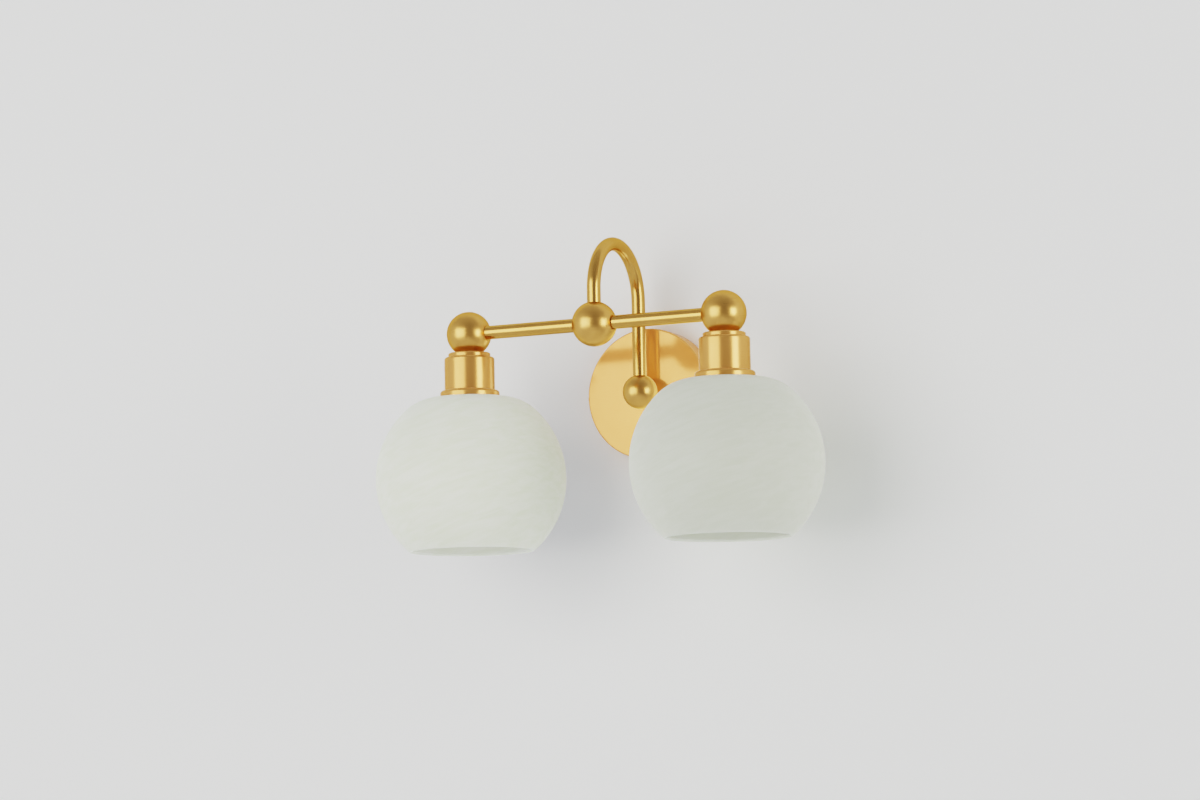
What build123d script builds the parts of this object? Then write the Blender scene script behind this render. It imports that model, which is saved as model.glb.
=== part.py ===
from build123d import *
import os
from math import asin, cos, pi, sin, sqrt

# Two-lamp wall light for over a mirror, in millimetres.
# The origin is the middle of the canopy's rear face, on the wall.
# The viewer stands at -Y, +X runs to the viewer's right along the wall and +Z is up.

# Fits
slip_clearance = 0.15        # radial, between pieces that are screwed, pressed or pushed together
thread_clearance = 0.3       # radial, between the shade ring and the thread it turns on
collar_clearance = 0.3       # radial, between a ball and the collar's recess
shade_clearance = 0.2        # between the glass and what it is clamped against

# Arm: gooseneck and cross bar
tube_diameter = 12.7
tube_wall = 1.0
bar_reach = 131.0            # cross bar's axis to the wall
bar_height = 54.0            # cross bar's axis above the canopy's middle
arch_height = 134.5          # top of the gooseneck's centre line above the canopy's middle
lamp_spacing = 262.0         # from one end ball's middle to the other's
ball_diameter = 42.0         # centre ball and end balls
rear_ball_diameter = 33.0
ball_wall = 6.0
tube_flat = 1.5              # depth of the flat turned on a ball where a tube enters
tube_insertion = 7.0         # length of tube inside a ball, from that flat

# Canopy and what is behind it
canopy_diameter = 124.0
canopy_depth = 20.0
canopy_wall = 1.2
canopy_inside_radius = 0.4   # where face and side meet, inside
bracket_thickness = 2.0
bracket_width = 24.0
bracket_tab_width = 14.0
bracket_tab_length = 14.0    # from the wall
bracket_gap = 0.8            # bracket's tabs to the canopy's inside
bracket_bend_radius = 1.5
box_screw_spacing = 79.4     # middle of the slots, for boxes with screws 70 to 89 apart
box_slot_length = 14.0
box_slot_width = 4.6
bracket_hole_diameter = 12.0
side_screw_diameter = 4.0
side_screw_length = 7.0
side_screw_head_diameter = 8.0
side_screw_head_height = 3.5
side_screw_head_radius = 1.1
side_screw_setback = 9.0     # screw's axis to the wall
ground_screw_diameter = 4.0
ground_screw_head_diameter = 8.5
ground_screw_head_height = 2.6
ground_screw_head_radius = 0.8
ground_screw_offset = 20.0   # from the middle, along the bracket
screw_slot_width = 1.0
screw_slot_depth = 1.0

# Threaded nipples, their nuts and washer
nipple_diameter = 10.2
nipple_bore = 7.0
nipple_insertion = 6.0       # length of nipple inside a ball, from its flat
nipple_flat = 1.2            # depth of the flat turned on a ball where it seats
nipple_overrun = 2.0         # rear nipple past its nut
nut_across_flats = 15.0
nut_height = 4.0
lock_washer_diameter = 18.0
lock_washer_thickness = 0.8
lock_washer_teeth = 8
lock_washer_notch = 2.0

# Cup, its collar and its flange
collar_diameter = 39.4
collar_height = 4.0
collar_floor = 2.2
collar_edge_radius = 1.2
cup_diameter = 47.0
cup_height = 31.5
cup_wall = 1.0
cup_inside_radius = 1.4      # at the shoulder, inside
groove_depth = 0.5
flange_diameter = 55.6
flange_height = 6.5
flange_edge_radius = 2.6
spigot_height = 5.0
spigot_wall = 1.6

# Lampholder for a 26 mm screw-base lamp
shell_bore = 26.6
shell_wall = 0.4
shell_length = 20.0
shell_floor_diameter = 23.2
shell_shoulder_height = 5.5  # taper from the wall in to the floor
insert_wall = 1.8
insert_floor = 6.0
skirt_diameter = 39.0
skirt_lip = 2.0
skirt_mouth_clearance = 1.2  # radial, between the lip and the lamp's bore
skirt_overhang = 4.0         # threaded skirt below the shade ring
cap_wall = 2.4
cap_inside_radius = 1.6
cap_overlap = 5.0            # skirt's neck inside the cap
contact_width = 6.0
contact_length = 10.0
contact_thickness = 0.6
contact_return = 6.6         # folded-back part of the contact's leaf
contact_bend_radius = 0.5    # at the fold, middle of the leaf
contact_drop = 2.6           # free end of the contact's leaf below its root
contact_gap = 1.2            # contact's leaf to the screw shell's floor
rivet_diameter = 3.0
rivet_head_diameter = 5.0
rivet_head_height = 0.8

# Shade, washer and ring
shade_diameter = 178.0
shade_thickness = 3.5
shade_shoulder_radius = 45.0
shade_crown_drop = 12.3      # flat crown below the top of the full globe
shade_mouth_diameter = 117.0
shade_neck_hole = 42.0
washer_diameter = 54.0
washer_thickness = 1.5
ring_diameter = 55.0
ring_flange_height = 3.0
ring_hub_diameter = 46.0
ring_height = 8.0
ring_grips = 16
ring_grip_radius = 1.8

# Wires
wire_diameter = 2.2
wire_spacing = 2.6           # between wires that lie side by side
wire_tail = 2.5              # past the rear nipple's mouth
wire_bend_radius = 8.0       # in the end and centre balls
rear_wire_bend_radius = 6.5  # in the rear ball
terminal_bend_radius = 4.0   # above the terminals
terminal_drop = 4.5          # last straight run, down on a terminal
terminal_slope = 0.6         # fall of a neutral wire for each millimetre across to its terminal
terminal_gap = 0.3           # wire's end to its terminal

# Places worked out from the sizes above
tube_radius = tube_diameter / 2
ball_radius = ball_diameter / 2
rear_ball_radius = rear_ball_diameter / 2
lamp_offset = lamp_spacing / 2
rear_leg_reach = canopy_depth + rear_ball_radius - nipple_flat
arch_radius = (bar_reach - rear_leg_reach) / 2
arch_spring = arch_height - arch_radius
canopy_radius = canopy_diameter / 2
canopy_edge_radius = canopy_inside_radius + canopy_wall
bracket_length = canopy_diameter - 2 * (canopy_wall + bracket_gap)
canopy_face = canopy_depth - canopy_wall

cup_radius = cup_diameter / 2
cup_shoulder_radius = cup_inside_radius + cup_wall
cup_top = bar_height - (ball_radius - nipple_flat) - collar_floor
cup_bottom = cup_top - cup_height
flange_radius = flange_diameter / 2
flange_bottom = cup_bottom - flange_height
spigot_radius = cup_radius - cup_wall - slip_clearance
nut_bottom = cup_top - cup_wall - nut_height

shade_radius = shade_diameter / 2
shade_top = flange_bottom - shade_clearance
shade_middle = shade_top - (shade_radius - shade_crown_drop)
washer_top = shade_top - shade_thickness - shade_clearance
ring_top = washer_top - washer_thickness - shade_clearance
ring_bottom = ring_top - ring_height

skirt_radius = skirt_diameter / 2
skirt_bottom = ring_bottom - skirt_overhang
shell_radius = shell_bore / 2 + shell_wall
shell_bottom = skirt_bottom + skirt_lip + slip_clearance
shell_top = shell_bottom + shell_length
insert_bottom = skirt_bottom + skirt_lip
insert_bore = shell_radius + slip_clearance
insert_radius = insert_bore + insert_wall
insert_top = shell_top + insert_floor
skirt_bore = insert_radius + slip_clearance
cap_top = nut_bottom
cap_bottom = insert_top - cap_overlap
cap_radius = skirt_radius
cap_edge_radius = cap_inside_radius + cap_wall
cap_bore = cap_radius - cap_wall
skirt_neck_radius = cap_bore - slip_clearance
neck_nipple_bottom = cap_top - cap_wall - nipple_insertion
shell_floor_hole = contact_length + 2 * contact_gap
neutral_offset = (shell_floor_hole + shell_floor_diameter) / 4
rivet_top = insert_top + rivet_head_height


def turned(outline):
    """Solid of revolution about Z from edges drawn as (radius, height)."""
    face = Plane.XZ * make_face(outline.edges())
    return revolve(face, Axis.Z)


def rod(radius, length):
    """Cylinder that stands on Z = 0."""
    return Cylinder(radius, length, align=(Align.CENTER, Align.CENTER, Align.MIN))


def ring(outer_radius, inner_radius, low, high):
    """Plain ring about Z between two heights."""
    return turned(Polyline((inner_radius, low), (outer_radius, low), (outer_radius, high),
                           (inner_radius, high), close=True))


def arc_about(centre, radius, start, end):
    """Arc about a point of the outline, by angles in radians."""
    def at(angle):
        return (centre[0] + radius * cos(angle), centre[1] + radius * sin(angle))
    return ThreePointArc(at(start), at((start + end) / 2), at(end))


def ball(diameter, ports):
    """Hollow ball. Each port gives its facing, its hole's diameter and the depth of its flat."""
    radius = diameter / 2
    body = Sphere(radius) - Sphere(radius - ball_wall)
    for facing, hole, flat in ports:
        seat = radius - flat
        body -= facing * Pos(0, 0, seat) * rod(radius, diameter)
        body -= facing * rod(hole / 2, seat)
    return body


upward = Rot()
downward = Rot(180, 0, 0)
leftward = Rot(0, -90, 0)
rightward = Rot(0, 90, 0)
forward = Rot(90, 0, 0)      # +Z of a piece turned about Z comes to face the viewer
wallward = Rot(-90, 0, 0)
side_screw_hole = side_screw_diameter + 2 * slip_clearance
tube_hole = tube_diameter + 2 * slip_clearance
nipple_hole = nipple_diameter + 2 * slip_clearance


def hex_nut(low):
    """Thin hexagon nut for the nipples, standing on a height."""
    outline = RegularPolygon(nut_across_flats / 2, 6, major_radius=False) - Circle(nipple_hole / 2)
    return Pos(0, 0, low) * extrude(outline, nut_height)


def make_canopy():
    """Spun pan: flat face, straight side, open to the wall, with a hole at each side for its screw."""
    edge = canopy_edge_radius
    inner_edge = canopy_inside_radius
    inner = canopy_radius - canopy_wall
    outer_corner = arc_about((canopy_radius - edge, canopy_depth - edge), edge, 0, pi / 2)
    inner_corner = arc_about((inner - inner_edge, canopy_face - inner_edge), inner_edge, 0, pi / 2)
    outline = Polyline(inner_corner @ 0, (inner, 0), (canopy_radius, 0), outer_corner @ 0)
    outline += outer_corner
    outline += Polyline(outer_corner @ 1, (nipple_hole / 2, canopy_depth), (nipple_hole / 2, canopy_face),
                        inner_corner @ 1)
    outline += inner_corner
    pan = forward * turned(outline)
    for facing in (leftward, rightward):
        pan -= Pos(0, -side_screw_setback, 0) * facing * rod(side_screw_hole / 2, canopy_diameter)
    return pan


def make_mounting_bracket():
    """Pressed steel strap against the wall, with a tapped tab bent up at each end for a side screw."""
    half = bracket_length / 2
    bend = bracket_bend_radius
    strap = Pos(0, -bracket_thickness / 2, 0) * Box(bracket_length - 2 * (bend + bracket_thickness),
                                                    bracket_thickness, bracket_width)
    tab_line = Polyline((0, 0), (half, 0), (half, -bracket_tab_length),
                        (half - bracket_thickness, -bracket_tab_length),
                        (half - bracket_thickness, -bracket_thickness), (0, -bracket_thickness), close=True)
    tab = make_face(tab_line.edges())
    outer_corner = tab.vertices().sort_by_distance((half, 0, 0))[0]
    tab = fillet(outer_corner, bend + bracket_thickness)
    inner_corner = tab.vertices().sort_by_distance((half - bracket_thickness, -bracket_thickness, 0))[0]
    tab = fillet(inner_corner, bend)
    right_tab = extrude(tab, bracket_tab_width / 2, both=True)
    bracket = strap + right_tab + mirror(right_tab, Plane.YZ)
    slot = extrude(SlotOverall(box_slot_length, box_slot_width), bracket_thickness)
    for side in (-1, 1):
        bracket -= Pos(side * box_screw_spacing / 2, 0, 0) * forward * slot
    ground_hole_radius = ground_screw_diameter / 2 + slip_clearance
    hole_radii = {0: bracket_hole_diameter / 2, ground_screw_offset: ground_hole_radius}
    for place, radius in hole_radii.items():
        bracket -= Pos(place, -bracket_thickness / 2, 0) * forward * Cylinder(radius, 2 * bracket_thickness)
    for facing in (leftward, rightward):
        bracket -= Pos(0, -side_screw_setback, 0) * facing * rod(side_screw_hole / 2, bracket_length)
    return bracket


def slotted_screw(head_diameter, head_height, head_radius, shank_diameter, shank_length):
    """Round-headed screw with a driving slot, its shank below Z = 0."""
    head = rod(head_diameter / 2, head_height)
    head = fillet(head.edges().group_by(Axis.Z)[-1], head_radius)
    head -= Pos(0, 0, head_height) * Box(2 * head_diameter, screw_slot_width, 2 * screw_slot_depth)
    return head + Pos(0, 0, -shank_length) * rod(shank_diameter / 2, shank_length)


def make_canopy_side_screws():
    """Two screws through the canopy's side into the bracket's tabs."""
    screw = slotted_screw(side_screw_head_diameter, side_screw_head_height, side_screw_head_radius,
                          side_screw_diameter, side_screw_length)
    screw = Pos(0, 0, canopy_radius) * screw
    place = Pos(0, -side_screw_setback, 0)
    return Compound([place * leftward * screw, place * rightward * screw])


def make_ground_screw():
    """Earth screw in the bracket."""
    screw = slotted_screw(ground_screw_head_diameter, ground_screw_head_height, ground_screw_head_radius,
                          ground_screw_diameter, bracket_thickness)
    return Pos(ground_screw_offset, -bracket_thickness, 0) * forward * screw


def make_rear_nipple():
    """Threaded tube from the rear ball through the canopy's face."""
    back = canopy_face - lock_washer_thickness - nut_height - nipple_overrun
    return forward * ring(nipple_diameter / 2, nipple_bore / 2, back, canopy_depth + nipple_insertion)


def make_rear_lock_washer():
    """Toothed washer between the canopy's inside and the nut."""
    low = canopy_face - lock_washer_thickness
    washer = ring(lock_washer_diameter / 2, nipple_hole / 2, low, canopy_face)
    notch = Box(lock_washer_notch, lock_washer_notch, 2 * canopy_depth)
    for place in PolarLocations(lock_washer_diameter / 2, lock_washer_teeth):
        washer -= place * notch
    return forward * washer


def make_rear_nut():
    """Nut that draws the rear ball against the canopy."""
    return forward * hex_nut(canopy_face - lock_washer_thickness - nut_height)


def make_rear_ball():
    """Small ball: nipple behind, gooseneck above."""
    ports = [(wallward, nipple_hole, nipple_flat), (upward, tube_hole, tube_flat)]
    return Pos(0, -rear_leg_reach, 0) * ball(rear_ball_diameter, ports)


def make_gooseneck():
    """Bent tube: up from the rear ball, over in a half circle and down into the centre ball."""
    foot = (0, -rear_leg_reach, rear_ball_radius - tube_flat - tube_insertion)
    rear_spring = (0, -rear_leg_reach, arch_spring)
    crown = (0, -rear_leg_reach - arch_radius, arch_height)
    front_spring = (0, -bar_reach, arch_spring)
    end = (0, -bar_reach, bar_height + ball_radius - tube_flat - tube_insertion)
    arch = ThreePointArc(rear_spring, crown, front_spring)
    path = Line(foot, rear_spring) + arch + Line(front_spring, end)
    section = Circle(tube_radius) - Circle(tube_radius - tube_wall)
    return sweep(Pos(foot) * section, path)


def make_centre_ball():
    """Ball under the gooseneck's end, with a bar tube at each side."""
    ports = [(facing, tube_hole, tube_flat) for facing in (upward, leftward, rightward)]
    return Pos(0, -bar_reach, bar_height) * ball(ball_diameter, ports)


def make_bar_tube(side):
    """Straight tube from the centre ball to an end ball."""
    reach = ball_radius - tube_flat - tube_insertion
    tube = ring(tube_radius, tube_radius - tube_wall, reach, lamp_offset - reach)
    facing = rightward if side > 0 else leftward
    return Pos(0, -bar_reach, bar_height) * facing * tube


def make_end_ball(side):
    """Ball at the end of the bar, with the lamp's nipple below."""
    inward = leftward if side > 0 else rightward
    ports = [(inward, tube_hole, tube_flat), (downward, nipple_hole, nipple_flat)]
    return Pos(0, 0, bar_height) * ball(ball_diameter, ports)


def make_neck_nipple():
    """Threaded tube that hangs the cup and the lampholder on the ball."""
    top = cup_top + collar_floor + nipple_insertion
    return ring(nipple_diameter / 2, nipple_bore / 2, neck_nipple_bottom, top)


def make_neck_collar():
    """Turned ring that the ball sits in, between ball and cup."""
    outer = collar_diameter / 2
    top = cup_top + collar_height
    seat = cup_top + collar_floor
    depth_in_ball = bar_height - top
    recess = sqrt(ball_radius ** 2 - depth_in_ball ** 2) + collar_clearance
    edge = collar_edge_radius
    corner = arc_about((outer - edge, top - edge), edge, 0, pi / 2)
    outline = Polyline((recess, top), (recess, seat), (nipple_hole / 2, seat), (nipple_hole / 2, cup_top),
                       (outer, cup_top), corner @ 0)
    outline += corner
    outline += Line(corner @ 1, (recess, top))
    return turned(outline)


def make_cup():
    """Spun cup with a rounded shoulder; its lower edge is bevelled where it meets the flange."""
    inner = cup_radius - cup_wall
    inner_shoulder = cup_inside_radius
    ceiling = cup_top - cup_wall
    outer_corner = arc_about((cup_radius - cup_shoulder_radius, cup_top - cup_shoulder_radius),
                             cup_shoulder_radius, 0, pi / 2)
    inner_corner = arc_about((inner - inner_shoulder, ceiling - inner_shoulder), inner_shoulder, 0, pi / 2)
    outline = Polyline(inner_corner @ 0, (inner, cup_bottom), (cup_radius - groove_depth, cup_bottom),
                       (cup_radius, cup_bottom + groove_depth), outer_corner @ 0)
    outline += outer_corner
    outline += Polyline(outer_corner @ 1, (nipple_hole / 2, cup_top), (nipple_hole / 2, ceiling),
                        inner_corner @ 1)
    outline += inner_corner
    return turned(outline)


def make_cup_nut():
    """Nut that clamps cup and collar to the ball."""
    return hex_nut(nut_bottom)


def make_cup_flange():
    """Ring in the cup's mouth, with a rounded rim outside that the shade is drawn up against."""
    inner = spigot_radius - spigot_wall
    edge = flange_edge_radius
    spigot_top = cup_bottom + spigot_height
    rim = arc_about((flange_radius - edge, cup_bottom - edge), edge, 0, pi / 2)
    outline = Polyline(rim @ 1, (spigot_radius, cup_bottom), (spigot_radius, spigot_top), (inner, spigot_top),
                       (inner, flange_bottom), (flange_radius, flange_bottom), rim @ 0)
    outline += rim
    return turned(outline)


def make_lampholder_cap():
    """Moulded dome screwed on the nipple, over the wiring."""
    edge = cap_edge_radius
    inner_edge = cap_inside_radius
    ceiling = cap_top - cap_wall
    outer_corner = arc_about((cap_radius - edge, cap_top - edge), edge, 0, pi / 2)
    inner_corner = arc_about((cap_bore - inner_edge, ceiling - inner_edge), inner_edge, 0, pi / 2)
    outline = Polyline(inner_corner @ 0, (cap_bore, cap_bottom), (cap_radius, cap_bottom), outer_corner @ 0)
    outline += outer_corner
    outline += Polyline(outer_corner @ 1, (nipple_hole / 2, cap_top), (nipple_hole / 2, ceiling),
                        inner_corner @ 1)
    outline += inner_corner
    return turned(outline)


def rivet(low):
    """Hollow-set rivet through the insert's floor, headed on top."""
    shank = Pos(0, 0, low) * rod(rivet_diameter / 2, rivet_top - low)
    return shank + Pos(0, 0, insert_top) * rod(rivet_head_diameter / 2, rivet_head_height)


def make_lampholder_insert():
    """Porcelain cup that holds the screw shell, with a hole for each rivet in its floor."""
    body = turned(Polyline((0, shell_top), (insert_bore, shell_top), (insert_bore, insert_bottom),
                           (insert_radius, insert_bottom), (insert_radius, insert_top), (0, insert_top),
                           close=True))
    floor_middle = (shell_top + insert_top) / 2
    hole = Cylinder(rivet_diameter / 2 + slip_clearance, 2 * insert_floor)
    for offset in (0, neutral_offset):
        body -= Pos(0, offset, floor_middle) * hole
    return body


def make_lampholder_skirt():
    """Moulded sleeve, threaded outside for the shade ring, with a neck inside the cap and a lip below."""
    mouth = shell_bore / 2 + skirt_mouth_clearance
    return turned(Polyline((skirt_bore, insert_top), (skirt_neck_radius, insert_top),
                           (skirt_neck_radius, cap_bottom), (skirt_radius, cap_bottom),
                           (skirt_radius, skirt_bottom), (mouth, skirt_bottom),
                           (mouth, insert_bottom), (skirt_bore, insert_bottom), close=True))


def make_screw_shell():
    """Thin metal shell for the lamp's base, drawn in to a floor that is riveted to the insert."""
    inner = shell_bore / 2
    floor = shell_top - shell_wall
    floor_edge = shell_floor_diameter / 2
    hole = shell_floor_hole / 2
    shoulder = shell_top - shell_shoulder_height
    shell = turned(Polyline((inner, shell_bottom), (shell_radius, shell_bottom), (shell_radius, shoulder),
                            (floor_edge + shell_wall, shell_top), (hole, shell_top), (hole, floor),
                            (floor_edge, floor), (inner, shoulder), close=True))
    return shell + Pos(0, neutral_offset, 0) * rivet(floor)


def make_centre_contact():
    """Brass leaf, folded back below its rivet to spring against the lamp's tip."""
    root = shell_top - contact_thickness / 2
    half = contact_length / 2
    leaf_line = FilletPolyline((-half, root), (half, root), (half, root - 2 * contact_bend_radius),
                               (half - contact_return, root - contact_drop), radius=contact_bend_radius)
    leaf = extrude(Plane.YZ * trace(leaf_line, contact_thickness), contact_width / 2, both=True)
    return leaf + rivet(root)


def make_shade():
    """Blown glass globe with a flattened crown, a neck hole and a wide fire-rounded mouth."""
    centre = (0, shade_middle)
    inner_radius = shade_radius - shade_thickness
    shoulder_offset = shade_radius - shade_shoulder_radius
    shoulder_angle = asin((shoulder_offset - shade_crown_drop) / shoulder_offset)
    shoulder_centre = (shoulder_offset * cos(shoulder_angle),
                       shade_middle + shoulder_offset * sin(shoulder_angle))
    inner_shoulder_radius = shade_shoulder_radius - shade_thickness
    mouth_angle = -asin(sqrt(shade_radius ** 2 - (shade_mouth_diameter / 2) ** 2) / shade_radius)
    hole = shade_neck_hole / 2
    belly = arc_about(centre, shade_radius, mouth_angle, shoulder_angle)
    shoulder = arc_about(shoulder_centre, shade_shoulder_radius, shoulder_angle, pi / 2)
    inner_shoulder = arc_about(shoulder_centre, inner_shoulder_radius, pi / 2, shoulder_angle)
    inner_belly = arc_about(centre, inner_radius, shoulder_angle, mouth_angle)
    wall_middle = shade_radius - shade_thickness / 2
    lip_centre = (wall_middle * cos(mouth_angle), shade_middle + wall_middle * sin(mouth_angle))
    lip = arc_about(lip_centre, shade_thickness / 2, mouth_angle - pi, mouth_angle)
    outline = belly + shoulder
    outline += Polyline(shoulder @ 1, (hole, shade_top), (hole, shade_top - shade_thickness),
                        inner_shoulder @ 0)
    outline += inner_shoulder
    outline += inner_belly
    outline += lip
    return turned(outline)


def make_shade_washer():
    """Flat rubber washer between the glass and the ring."""
    return ring(washer_diameter / 2, shade_neck_hole / 2, washer_top - washer_thickness, washer_top)


def make_shade_ring():
    """Moulded ring, threaded on the skirt, with finger grips round its flange."""
    bore = skirt_radius + thread_clearance
    flange = ring_top - ring_flange_height
    flange_middle = (flange + ring_top) / 2
    hub = ring_hub_diameter / 2
    body = turned(Polyline((bore, ring_top), (ring_diameter / 2, ring_top), (ring_diameter / 2, flange),
                           (hub, flange), (hub, ring_bottom), (bore, ring_bottom), close=True))
    for place in PolarLocations(ring_diameter / 2, ring_grips):
        body -= place * Pos(0, 0, flange_middle) * Cylinder(ring_grip_radius, 2 * ring_flange_height)
    return body


def make_wire(side, layer):
    """Insulated wire from the rear nipple to a terminal: side is left or right, layer live or neutral."""
    across = side * wire_spacing / 2
    along = layer * wire_spacing / 2
    arch_bend = arch_radius + along - wire_spacing / 2
    mouth = canopy_face - lock_washer_thickness - nut_height - nipple_overrun - wire_tail
    end = rivet_top + terminal_gap
    lamp_x = side * lamp_offset
    bar_y = -bar_reach - along
    points = [(across, -mouth, along),
              (across, along - rear_leg_reach, along),
              (across, along - rear_leg_reach, arch_height + along),
              (across, bar_y, arch_height + along),
              (across, bar_y, bar_height),
              (lamp_x, bar_y, bar_height)]
    radii = [rear_wire_bend_radius, arch_bend, arch_bend, wire_bend_radius, wire_bend_radius]
    if layer > 0:
        points.append((lamp_x, bar_y, end))
    else:
        shift = neutral_offset - wire_spacing / 2
        points.append((lamp_x, bar_y, end + terminal_drop + shift * terminal_slope))
        points.append((lamp_x, neutral_offset - bar_reach, end + terminal_drop))
        points.append((lamp_x, neutral_offset - bar_reach, end))
        radii += [terminal_bend_radius, terminal_bend_radius]
    path = FilletPolyline(*points, radius=radii)
    section = Plane(origin=path @ 0, z_dir=path % 0) * Circle(wire_diameter / 2)
    wire = sweep(section, path)
    swept = pi * (wire_diameter / 2) ** 2 * path.length
    print(f"wire length {path.length:.1f}, its volume over section times length {wire.volume / swept:.4f}")
    return wire


nodes = {
    "canopy": make_canopy(),
    "mounting_bracket": make_mounting_bracket(),
    "canopy_side_screws": make_canopy_side_screws(),
    "ground_screw": make_ground_screw(),
    "rear_nipple": make_rear_nipple(),
    "rear_lock_washer": make_rear_lock_washer(),
    "rear_nut": make_rear_nut(),
    "rear_ball": make_rear_ball(),
    "gooseneck_tube": make_gooseneck(),
    "centre_ball": make_centre_ball(),
}
lamp_pieces = {
    "neck_nipple": make_neck_nipple,
    "neck_collar": make_neck_collar,
    "cup": make_cup,
    "cup_nut": make_cup_nut,
    "cup_flange": make_cup_flange,
    "lampholder_cap": make_lampholder_cap,
    "lampholder_insert": make_lampholder_insert,
    "lampholder_skirt": make_lampholder_skirt,
    "screw_shell": make_screw_shell,
    "centre_contact": make_centre_contact,
    "shade": make_shade,
    "shade_washer": make_shade_washer,
    "shade_ring": make_shade_ring,
}
for name, side in (("left", -1), ("right", 1)):
    lamp_place = Pos(side * lamp_offset, -bar_reach, 0)
    nodes[name + "_bar_tube"] = make_bar_tube(side)
    nodes[name + "_end_ball"] = lamp_place * make_end_ball(side)
    for piece, make in lamp_pieces.items():
        nodes[name + "_" + piece] = lamp_place * make()
    nodes[name + "_live_wire"] = make_wire(side, 1)
    nodes[name + "_neutral_wire"] = make_wire(side, -1)

os.makedirs("parts", exist_ok=True)
for name, shape in nodes.items():
    export_step(shape, f"parts/{name}.step")
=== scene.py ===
import bpy
import math
from mathutils import Matrix, Vector


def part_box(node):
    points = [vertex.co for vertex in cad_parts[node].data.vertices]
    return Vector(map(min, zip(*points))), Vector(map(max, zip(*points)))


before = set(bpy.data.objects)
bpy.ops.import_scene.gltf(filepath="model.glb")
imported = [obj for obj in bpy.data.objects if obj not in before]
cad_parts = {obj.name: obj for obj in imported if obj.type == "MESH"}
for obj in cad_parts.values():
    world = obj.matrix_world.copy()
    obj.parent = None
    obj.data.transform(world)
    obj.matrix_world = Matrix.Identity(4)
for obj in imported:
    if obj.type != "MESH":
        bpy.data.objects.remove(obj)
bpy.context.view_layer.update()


# Strap, nipples, nuts and toothed washer
# Pressed and turned mild steel with a bright zinc plating. The strap is screwed to the wall box,
# and the nipples and nuts draw balls, canopy and cups together out of sight.
mm = 0.001
sides = ("left", "right")


def linear(colour):
    """An sRGB hex colour as linear red, green, blue and alpha."""
    channels = [int(colour[place:place + 2], 16) / 255 for place in (1, 3, 5)]
    return [c / 12.92 if c <= 0.04045 else ((c + 0.055) / 1.055) ** 2.4 for c in channels] + [1.0]


def add_node(tree, kind, inputs=None, **settings):
    """Adds a node with its settings; each input is linked to a socket or set to a value."""
    node = tree.nodes.new(kind)
    for name, value in settings.items():
        setattr(node, name, value)
    for name, value in (inputs or {}).items():
        if isinstance(value, bpy.types.NodeSocket):
            tree.links.new(value, node.inputs[name])
        else:
            node.inputs[name].default_value = value
    return node


def new_finish(name):
    """An empty material: its node tree and the place on the piece, in metres."""
    finish = bpy.data.materials.new(name)
    finish.use_nodes = True
    finish.node_tree.nodes.clear()
    place = add_node(finish.node_tree, "ShaderNodeTexCoord").outputs["Object"]
    return finish, finish.node_tree, place


def show(tree, shader):
    """Sends a shader to the material's output."""
    add_node(tree, "ShaderNodeOutputMaterial", {"Surface": shader.outputs[0]})


def dress(finish, *names):
    """Gives a finish to pieces of the CAD, by the names of their nodes."""
    for name in names:
        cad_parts[name].material_slots[0].material = finish


def both(*pieces):
    """The node names of pieces that each lamp has."""
    return [f"{side}_{piece}" for side in sides for piece in pieces]


# Zinc plating is a cool, slightly cloudy grey; its crystals show as faint patches.
zinc, tree, place = new_finish("zinc_plated_steel")
zinc_patch = 4 * mm
patches = add_node(tree, "ShaderNodeTexNoise", {"Vector": place, "Scale": 1 / zinc_patch, "Detail": 4.0})
zinc_tone = add_node(tree, "ShaderNodeMixRGB", {
    "Fac": patches.outputs["Fac"], "Color1": linear("#9A9EA1"), "Color2": linear("#B7BABB")})
zinc_sheen = add_node(tree, "ShaderNodeMapRange", {
    "Value": patches.outputs["Fac"], "To Min": 0.28, "To Max": 0.42})
show(tree, add_node(tree, "ShaderNodeBsdfPrincipled", {
    "Base Color": zinc_tone.outputs["Color"], "Metallic": 1.0, "Roughness": zinc_sheen.outputs["Result"]}))
dress(zinc, "mounting_bracket", "rear_nipple", "rear_lock_washer", "rear_nut",
      *both("neck_nipple", "cup_nut"))


# Earth screw
# A steel screw in the strap, which the earth lead goes under. It is dipped in green enamel,
# so that the lead is put under the right head.

# Dipped enamel is a glossy skin with a slight ripple and an uneven depth of colour.
green, tree, place = new_finish("green_enamelled_steel")
enamel_ripple = 1.2 * mm
ripple_height = 0.1 * mm
ripple = add_node(tree, "ShaderNodeTexNoise", {"Vector": place, "Scale": 1 / enamel_ripple, "Detail": 2.0})
green_tone = add_node(tree, "ShaderNodeMixRGB", {
    "Fac": ripple.outputs["Fac"], "Color1": linear("#1E6B3A"), "Color2": linear("#2C8049")})
green_skin = add_node(tree, "ShaderNodeBump", {
    "Height": ripple.outputs["Fac"], "Strength": 0.15, "Distance": ripple_height})
show(tree, add_node(tree, "ShaderNodeBsdfPrincipled", {
    "Base Color": green_tone.outputs["Color"], "Roughness": 0.3, "Normal": green_skin.outputs["Normal"]}))
dress(green, "ground_screw")


# Canopy and its side screws
# The canopy is a pan spun from brass sheet, brushed with fine grit and lacquered; it hides the wall box.
# Two small turned brass screws hold it to the strap, one through each side.

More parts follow.
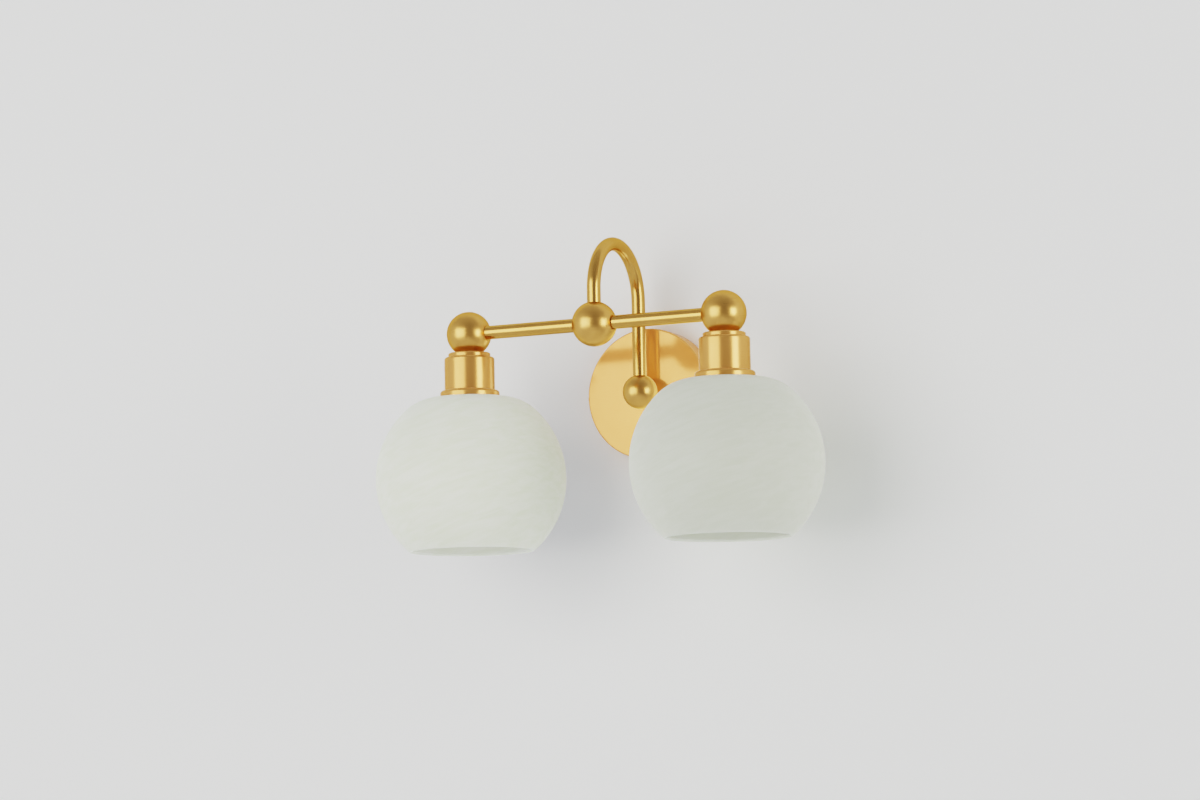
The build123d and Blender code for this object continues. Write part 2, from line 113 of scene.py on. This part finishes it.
def lacquered_brass(name, tones, grain, line_spacing, line_height, roughness, mirror_share):
    """Brass with brush lines: grain turns the place into a vector that changes across the lines.

    The tones are those of the ridges, the furrows and the darker patches. The lines throw part of
    the light all round; mirror_share is the part that keeps to its mirror direction."""
    finish, tree, place = new_finish(name)
    lines = add_node(tree, "ShaderNodeTexNoise", {
        "Vector": grain(tree, place), "Scale": 1 / line_spacing, "Detail": 3.0, "Roughness": 0.6})
    tarnish_patch = 30 * mm
    tarnish = add_node(tree, "ShaderNodeTexNoise", {
        "Vector": place, "Scale": 1 / tarnish_patch, "Detail": 3.0})
    clean = add_node(tree, "ShaderNodeMixRGB", {
        "Fac": lines.outputs["Fac"], "Color1": linear(tones[0]), "Color2": linear(tones[1])})
    aged = add_node(tree, "ShaderNodeMapRange", {
        "Value": tarnish.outputs["Fac"], "From Min": 0.45, "From Max": 0.75, "To Max": 0.3})
    tone = add_node(tree, "ShaderNodeMixRGB", {
        "Fac": aged.outputs["Result"], "Color1": clean.outputs["Color"], "Color2": linear(tones[2])})
    sheen_spread = 0.2
    sheen = add_node(tree, "ShaderNodeMapRange", {
        "Value": lines.outputs["Fac"], "To Min": roughness * (1 - sheen_spread),
        "To Max": roughness * (1 + sheen_spread)})
    skin = add_node(tree, "ShaderNodeBump", {
        "Height": lines.outputs["Fac"], "Strength": 0.3, "Distance": line_height})
    show(tree, add_node(tree, "ShaderNodeBsdfPrincipled", {
        "Base Color": tone.outputs["Color"], "Metallic": mirror_share, "Roughness": sheen.outputs["Result"],
        "Normal": skin.outputs["Normal"], "Specular Tint": linear("#E6CDA0")}))
    return finish


def stretched(x, y, z):
    """Grain whose lines run along each axis that has a small scale."""
    def grain(tree, place):
        return add_node(tree, "ShaderNodeMapping", {"Vector": place, "Scale": (x, y, z)}).outputs["Vector"]
    return grain


# Brushed and lacquered brass is a warm satin yellow, with a mirror image that its lines blur.
# Brush lines are a few hundredths of a millimetre apart; they are drawn ten to fifty times as coarse to show.
plate_tones = ("#EDAF71", "#F3B87A", "#E0A365")
plate_brass = lacquered_brass("brushed_brass_plate", plate_tones, stretched(x=0.04, y=1, z=1),
                              line_spacing=0.5 * mm, line_height=0.002 * mm, roughness=0.12, mirror_share=0.3)
dress(plate_brass, "canopy", "canopy_side_screws")


# Gooseneck
# Half-inch brass tube, bent cold over a former and linished along its length before lacquering.
# Its ends are pushed into the small ball on the canopy and into the centre ball.
neck_low, neck_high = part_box("gooseneck_tube")
arch_centre_y = (neck_low.y + neck_high.y) / 2
arch_reach = (neck_high.y - neck_low.y) / 2
arch_centre_z = neck_high.z - arch_reach


def along_the_bend(tree, place):
    """Grain that follows the tube: distance from the arch's middle, and place across the tube."""
    parts = add_node(tree, "ShaderNodeSeparateXYZ", {"Vector": place})
    across = add_node(tree, "ShaderNodeMath", {0: parts.outputs["Y"], 1: arch_centre_y}, operation="SUBTRACT")
    above = add_node(tree, "ShaderNodeMath", {0: parts.outputs["Z"], 1: arch_centre_z}, operation="SUBTRACT")
    in_arch = add_node(tree, "ShaderNodeMath", {0: above.outputs[0], 1: 0.0}, operation="MAXIMUM")
    spoke = add_node(tree, "ShaderNodeCombineXYZ", {"X": across.outputs[0], "Y": in_arch.outputs[0]})
    reach = add_node(tree, "ShaderNodeVectorMath", {0: spoke.outputs[0]}, operation="LENGTH")
    grain = add_node(tree, "ShaderNodeCombineXYZ", {"X": parts.outputs["X"], "Y": reach.outputs["Value"]})
    return grain.outputs[0]


# Linished tube is a deeper, glossier yellow, with long streaks and a narrow bright line.
tube_tones = ("#C99E61", "#CFA76B", "#BE9356")
neck_brass = lacquered_brass("linished_brass_neck", tube_tones, along_the_bend,
                             line_spacing=1.6 * mm, line_height=0.008 * mm, roughness=0.2, mirror_share=0.86)
dress(neck_brass, "gooseneck_tube")


# Cross bar
# Two straight lengths of the same tube, linished along their length in the same way.
# Each is pushed into the centre ball and into an end ball.
bar_brass = lacquered_brass("linished_brass_bar", tube_tones, stretched(x=0.01, y=1, z=1),
                            line_spacing=1.6 * mm, line_height=0.008 * mm, roughness=0.2, mirror_share=0.95)
dress(bar_brass, *both("bar_tube"))


# Balls
# Turned from solid brass and drilled for tubes and nipples, then satin finished in the lathe.
# They are the rigid couplings between canopy, gooseneck, cross bar and lamps.

# Satin turned brass shows soft-edged highlights and no clear mirror image.
ball_tones = ("#D2A567", "#D8AE71", "#C79A5C")
ball_brass = lacquered_brass("turned_brass_ball", ball_tones, stretched(x=0.05, y=0.05, z=1),
                             line_spacing=0.8 * mm, line_height=0.012 * mm, roughness=0.3, mirror_share=0.92)
dress(ball_brass, "rear_ball", "centre_ball", *both("end_ball"))


# Collars, cups and flanges
# Collar and flange are turned, the cup is spun; all three carry fine lathe lines round their axis.
# The nipple through the end ball clamps collar and cup, and the flange sits in the cup's mouth.

# Fine lathe lines spread the light round the axis, so the brass shows upright bright and dark bands.
cup_tones = ("#D5A166", "#DBAB70", "#C99556")
cup_brass = lacquered_brass("spun_brass_cup", cup_tones, stretched(x=0.02, y=0.02, z=1),
                            line_spacing=0.3 * mm, line_height=0.001 * mm, roughness=0.24, mirror_share=0.62)
dress(cup_brass, *both("cup"))
trim_brass = lacquered_brass("turned_brass_trim", cup_tones, stretched(x=0.02, y=0.02, z=1),
                             line_spacing=0.3 * mm, line_height=0.001 * mm, roughness=0.22, mirror_share=0.6)
dress(trim_brass, *both("neck_collar", "cup_flange"))


# Lampholder cap, skirt and shade ring
# Compression-moulded black phenolic. The skirt carries a thread, and the ring screws up it
# and clamps the glass.

# Moulded phenolic is nearly black, with a dull gloss and a faint grain from its filler.
phenolic, tree, place = new_finish("moulded_black_phenolic")
mould_grain = 0.6 * mm
grain_height = 0.05 * mm
grit = add_node(tree, "ShaderNodeTexNoise", {"Vector": place, "Scale": 1 / mould_grain, "Detail": 3.0})
phenolic_tone = add_node(tree, "ShaderNodeMixRGB", {
    "Fac": grit.outputs["Fac"], "Color1": linear("#161514"), "Color2": linear("#232120")})
phenolic_skin = add_node(tree, "ShaderNodeBump", {
    "Height": grit.outputs["Fac"], "Strength": 0.12, "Distance": grain_height})
show(tree, add_node(tree, "ShaderNodeBsdfPrincipled", {
    "Base Color": phenolic_tone.outputs["Color"], "Roughness": 0.42,
    "Normal": phenolic_skin.outputs["Normal"]}))
dress(phenolic, *both("lampholder_cap", "lampholder_skirt", "shade_ring"))


# Lampholder insert
# Pressed and glazed porcelain, which stands the lamp's heat
# and keeps the screw shell and the centre contact apart.

# Glazed porcelain is a warm white with a wet gloss, slightly clouded where the glaze is thick.
porcelain, tree, place = new_finish("glazed_porcelain")
glaze_patch = 6 * mm
glaze = add_node(tree, "ShaderNodeTexNoise", {"Vector": place, "Scale": 1 / glaze_patch, "Detail": 3.0})
porcelain_tone = add_node(tree, "ShaderNodeMixRGB", {
    "Fac": glaze.outputs["Fac"], "Color1": linear("#E4E1D8"), "Color2": linear("#F1EFE8")})
show(tree, add_node(tree, "ShaderNodeBsdfPrincipled", {
    "Base Color": porcelain_tone.outputs["Color"], "Roughness": 0.2}))
dress(porcelain, *both("lampholder_insert"))


# Screw shell
# Drawn aluminium with the lamp's thread rolled into it: seven turns to the inch.
# It sits inside the lampholder and takes the lamp's screw cap.

# Rolled aluminium is a pale bright grey, streaked round its axis and banded by the thread.
aluminium, tree, place = new_finish("rolled_aluminium_shell")
thread_pitch = 25.4 * mm / 7
thread_height = 0.8 * mm
wave_radians = 20    # the wave texture's turn for each unit of its scaled place
thread = add_node(tree, "ShaderNodeTexWave", {
    "Vector": place, "Scale": 2 * math.pi / wave_radians / thread_pitch}, bands_direction="Z")
drawn_spacing = 0.8 * mm
drawn = add_node(tree, "ShaderNodeTexNoise", {
    "Vector": stretched(x=0.05, y=0.05, z=1)(tree, place), "Scale": 1 / drawn_spacing, "Detail": 2.0})
aluminium_tone = add_node(tree, "ShaderNodeMixRGB", {
    "Fac": drawn.outputs["Fac"], "Color1": linear("#BFC1C2"), "Color2": linear("#DADBDB")})
thread_form = add_node(tree, "ShaderNodeBump", {
    "Height": thread.outputs["Fac"], "Strength": 1.0, "Distance": thread_height})
show(tree, add_node(tree, "ShaderNodeBsdfPrincipled", {
    "Base Color": aluminium_tone.outputs["Color"], "Metallic": 1.0, "Roughness": 0.32,
    "Normal": thread_form.outputs["Normal"]}))
dress(aluminium, *both("screw_shell"))


# Centre contact
# Stamped spring brass, left bare, folded back on itself under its rivet.
# It presses on the tip of the lamp's cap.

# Bare stamped brass is a dull yellow with small uneven patches.
contact_brass, tree, place = new_finish("bare_spring_brass")
stamp_patch = 2 * mm
stamped = add_node(tree, "ShaderNodeTexNoise", {"Vector": place, "Scale": 1 / stamp_patch, "Detail": 3.0})
contact_tone = add_node(tree, "ShaderNodeMixRGB", {
    "Fac": stamped.outputs["Fac"], "Color1": linear("#B98F45"), "Color2": linear("#D0A95E")})
show(tree, add_node(tree, "ShaderNodeBsdfPrincipled", {
    "Base Color": contact_tone.outputs["Color"], "Metallic": 1.0, "Roughness": 0.4}))
dress(contact_brass, *both("centre_contact"))


# Wires
# Stranded copper in heat-proof insulation: black for live, white for neutral.
# They are led from behind the canopy through tubes and balls to the lampholders.

def insulation(name, low, high):
    """Extruded silicone: matt, with faint draw marks."""
    finish, tree, place = new_finish(name)
    draw_spacing = 1.5 * mm
    marks = add_node(tree, "ShaderNodeTexNoise", {"Vector": place, "Scale": 1 / draw_spacing, "Detail": 2.0})
    tone = add_node(tree, "ShaderNodeMixRGB", {
        "Fac": marks.outputs["Fac"], "Color1": linear(low), "Color2": linear(high)})
    show(tree, add_node(tree, "ShaderNodeBsdfPrincipled", {
        "Base Color": tone.outputs["Color"], "Roughness": 0.5}))
    return finish


dress(insulation("black_silicone_insulation", "#171717", "#242424"), *both("live_wire"))
dress(insulation("white_silicone_insulation", "#D9D8D2", "#E9E8E3"), *both("neutral_wire"))


# Shade washers
# Flat rings cut from silicone rubber sheet.
# They lie between the glass and the ring, so that the ring does not chip it.

# Silicone rubber is a dull, greyish off-white with a faint bloom.
rubber, tree, place = new_finish("silicone_rubber")
rubber_patch = 3 * mm
bloom = add_node(tree, "ShaderNodeTexNoise", {"Vector": place, "Scale": 1 / rubber_patch, "Detail": 2.0})
rubber_tone = add_node(tree, "ShaderNodeMixRGB", {
    "Fac": bloom.outputs["Fac"], "Color1": linear("#C9C8C0"), "Color2": linear("#D8D7D0")})
show(tree, add_node(tree, "ShaderNodeBsdfPrincipled", {
    "Base Color": rubber_tone.outputs["Color"], "Roughness": 0.6}))
dress(rubber, *both("shade_washer"))


# Glass shades
# Opal glass blown in a mould and acid-etched matt. Milky wisps, drawn out as it is blown, give it the look
# of alabaster. The right shade gets a slightly darker copy of the glass, which light passes further into;
# its darker tone is painted shade.

def opal_glass(name, milky, wispy, depth):
    """Matt milk glass that light passes through, slightly green, with wisps that rise to the right."""
    finish, tree, place = new_finish(name)
    wisp_width = 5 * mm
    wisp_tilt = math.radians(-17)
    wisp_stretch = (7.0, 3.0, 1.0)
    turn = add_node(tree, "ShaderNodeMapping", {
        "Vector": place, "Rotation": (0, wisp_tilt, 0), "Scale": wisp_stretch}, vector_type="TEXTURE")
    wisps = add_node(tree, "ShaderNodeTexNoise", {
        "Vector": turn.outputs["Vector"], "Scale": 1 / wisp_width, "Detail": 5.0, "Roughness": 0.55,
        "Distortion": 0.6})
    share = add_node(tree, "ShaderNodeMapRange", {
        "Value": wisps.outputs["Fac"], "From Min": 0.35, "From Max": 0.7})
    tone = add_node(tree, "ShaderNodeMixRGB", {
        "Fac": share.outputs["Result"], "Color1": linear(milky), "Color2": linear(wispy)})
    show(tree, add_node(tree, "ShaderNodeBsdfPrincipled", {
        "Base Color": tone.outputs["Color"], "Roughness": 0.6, "IOR": 1.5, "Specular IOR Level": 0.5,
        "Subsurface Weight": 1.0, "Subsurface Radius": (1.0, 1.0, 1.0), "Subsurface Scale": depth}))
    return finish


left_glass = opal_glass("etched_alabaster_glass", milky="#E8EEDA", wispy="#E0E8CE", depth=12 * mm)
dress(left_glass, "left_shade")
# Painted shade: the right shade's copy of the glass is darker, and light passes further into it.
right_glass = opal_glass("etched_alabaster_glass_painted_shade", milky="#E5EBD4", wispy="#DFE6CC", depth=22 * mm)
dress(right_glass, "right_shade")
# Only these are seen in the brass's mirror images, which stay pale and plain in the photo.
mirrored = ("rear_ball", "centre_ball", "tube", "collar")
for name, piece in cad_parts.items():
    piece.visible_glossy = name.endswith(mirrored)
# The left shade sends no tinted light to the wall, whose shadow stays a neutral grey in the photo.
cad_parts["left_shade"].visible_diffuse = False


# Studio
# A pale wall behind the light, with a hole where the canopy covers the wall box, and a pale floor far below.
# Two large soft boxes stand left and right of the camera. The room is dimmer on the camera's side and
# overhead, and brighter behind the wall.

def pale_paint(name, one_sided):
    """Matt white paint with a faint roller texture; one-sided, it shows from the front alone."""
    finish, tree, place = new_finish(name)
    roller_stipple = 3 * mm
    stipple = add_node(tree, "ShaderNodeTexNoise", {
        "Vector": place, "Scale": 1 / roller_stipple, "Detail": 2.0})
    tone = add_node(tree, "ShaderNodeMixRGB", {
        "Fac": stipple.outputs["Fac"], "Color1": linear("#F9F9F9"), "Color2": linear("#FBFBFB")})
    paint = add_node(tree, "ShaderNodeBsdfDiffuse", {"Color": tone.outputs["Color"]})
    if one_sided:
        side = add_node(tree, "ShaderNodeNewGeometry").outputs["Backfacing"]
        nothing = add_node(tree, "ShaderNodeBsdfTransparent")
        paint = add_node(tree, "ShaderNodeMixShader", {0: side, 1: paint.outputs[0], 2: nothing.outputs[0]})
    show(tree, paint)
    return finish


def stage_sheet(name, corners, faces, finish):
    """A flat sheet of the studio."""
    mesh = bpy.data.meshes.new(name)
    mesh.from_pydata(corners, [], faces)
    mesh.materials.append(finish)
    sheet = bpy.data.objects.new(name, mesh)
    bpy.context.scene.collection.objects.link(sheet)


canopy_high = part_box("canopy")[1]
wall_gap = 0.5 * mm
wall_y = canopy_high.y + wall_gap
wall_reach = 4.0
hole_margin = 2 * mm
hole_radius = canopy_high.x - hole_margin
hole_steps = 96
floor_height = -3.2
floor_reach = 2 * wall_reach
hole_edge = []
wall_edge = []
for step in range(hole_steps):
    angle = 2 * math.pi * step / hole_steps
    across, up = math.cos(angle), math.sin(angle)
    square = wall_reach / max(abs(across), abs(up))
    hole_edge.append((hole_radius * across, wall_y, hole_radius * up))
    wall_edge.append((square * across, wall_y, max(square * up, floor_height)))
wall_faces = [(step, hole_steps + step, hole_steps + (step + 1) % hole_steps, (step + 1) % hole_steps)
              for step in range(hole_steps)]
stage_sheet("studio_wall", hole_edge + wall_edge, wall_faces, pale_paint("matt_wall_paint", one_sided=True))
floor_corners = [(-wall_reach, wall_y, floor_height), (-wall_reach, -floor_reach, floor_height),
                 (wall_reach, -floor_reach, floor_height), (wall_reach, wall_y, floor_height)]
stage_sheet("studio_floor", floor_corners, [(0, 1, 2, 3)], pale_paint("matt_floor_paint", one_sided=False))

scene = bpy.context.scene
scene.view_settings.view_transform = "Filmic"
scene.view_settings.look = "Very High Contrast"
room = bpy.data.worlds.new("studio_room")
room.use_nodes = True
room_light = room.node_tree.nodes["Background"]
room_light.inputs["Color"].default_value = linear("#F6FAFF")
light_direction = add_node(room.node_tree, "ShaderNodeTexCoord").outputs["Generated"]
camera_side = Vector((0.42, -0.90, -0.115))
facing = add_node(room.node_tree, "ShaderNodeVectorMath", {0: light_direction, 1: camera_side},
                  operation="DOT_PRODUCT")
glow = add_node(room.node_tree, "ShaderNodeMapRange", {
    "Value": facing.outputs["Value"], "From Min": 0.1, "From Max": 0.95, "To Min": 0.72, "To Max": 0.23})
bearing = add_node(room.node_tree, "ShaderNodeSeparateXYZ", {"Vector": light_direction})
ceiling = add_node(room.node_tree, "ShaderNodeMapRange", {
    "Value": bearing.outputs["Z"], "From Min": 0.1, "From Max": 0.8, "To Min": 1.0, "To Max": 0.66})
behind = add_node(room.node_tree, "ShaderNodeMapRange", {
    "Value": bearing.outputs["Y"], "From Min": 0.0, "From Max": 0.3, "To Min": 1.0, "To Max": 2.3})
strength = glow
for change in (ceiling, behind):
    strength = add_node(room.node_tree, "ShaderNodeMath", {0: strength.outputs[0], 1: change.outputs[0]},
                        operation="MULTIPLY")
room.node_tree.links.new(strength.outputs[0], room_light.inputs["Strength"])
scene.world = room

aim = Vector((0, -0.13, 0))


def soft_box(name, azimuth, elevation, distance, width, height, brightness):
    """A rectangular soft box that faces the fixture; its power is brightness times pi times its area."""
    turn, lift = math.radians(azimuth), math.radians(elevation)
    towards = Vector((math.sin(turn) * math.cos(lift), -math.cos(turn) * math.cos(lift), math.sin(lift)))
    lamp = bpy.data.lights.new(name, "AREA")
    lamp.shape = "RECTANGLE"
    lamp.size = width
    lamp.size_y = height
    lamp.energy = brightness * math.pi * width * height
    lamp.color = linear("#FFFCF5")[:3]
    box = bpy.data.objects.new(name, lamp)
    box.location = aim + towards * distance
    box.rotation_euler = towards.to_track_quat("Z", "Y").to_euler()
    box.visible_camera = False
    scene.collection.objects.link(box)


soft_box("soft_box_left", azimuth=-22, elevation=4, distance=3.0, width=2.9, height=2.4, brightness=1.95)
soft_box("soft_box_right", azimuth=74, elevation=3, distance=3.0, width=1.5, height=1.7, brightness=3.3)

# The camera stands right of the fixture and a little below it, with a long lens, and looks up at it.
lens_px = 3880.6
frame_px = 1200
camera_place = (1.5565, -3.3261, -0.42625)
camera_turn = math.radians(25.91)
camera_tilt = math.radians(90 + 6.57)
camera_roll = math.radians(-1.07)
camera_data = bpy.data.cameras.new("camera")
camera_data.sensor_width = 36
camera_data.lens = camera_data.sensor_width * lens_px / frame_px
camera = bpy.data.objects.new("camera", camera_data)
camera.matrix_world = (Matrix.Translation(camera_place) @ Matrix.Rotation(camera_turn, 4, "Z")
                       @ Matrix.Rotation(camera_tilt, 4, "X") @ Matrix.Rotation(camera_roll, 4, "Z"))
scene.collection.objects.link(camera)
scene.camera = camera
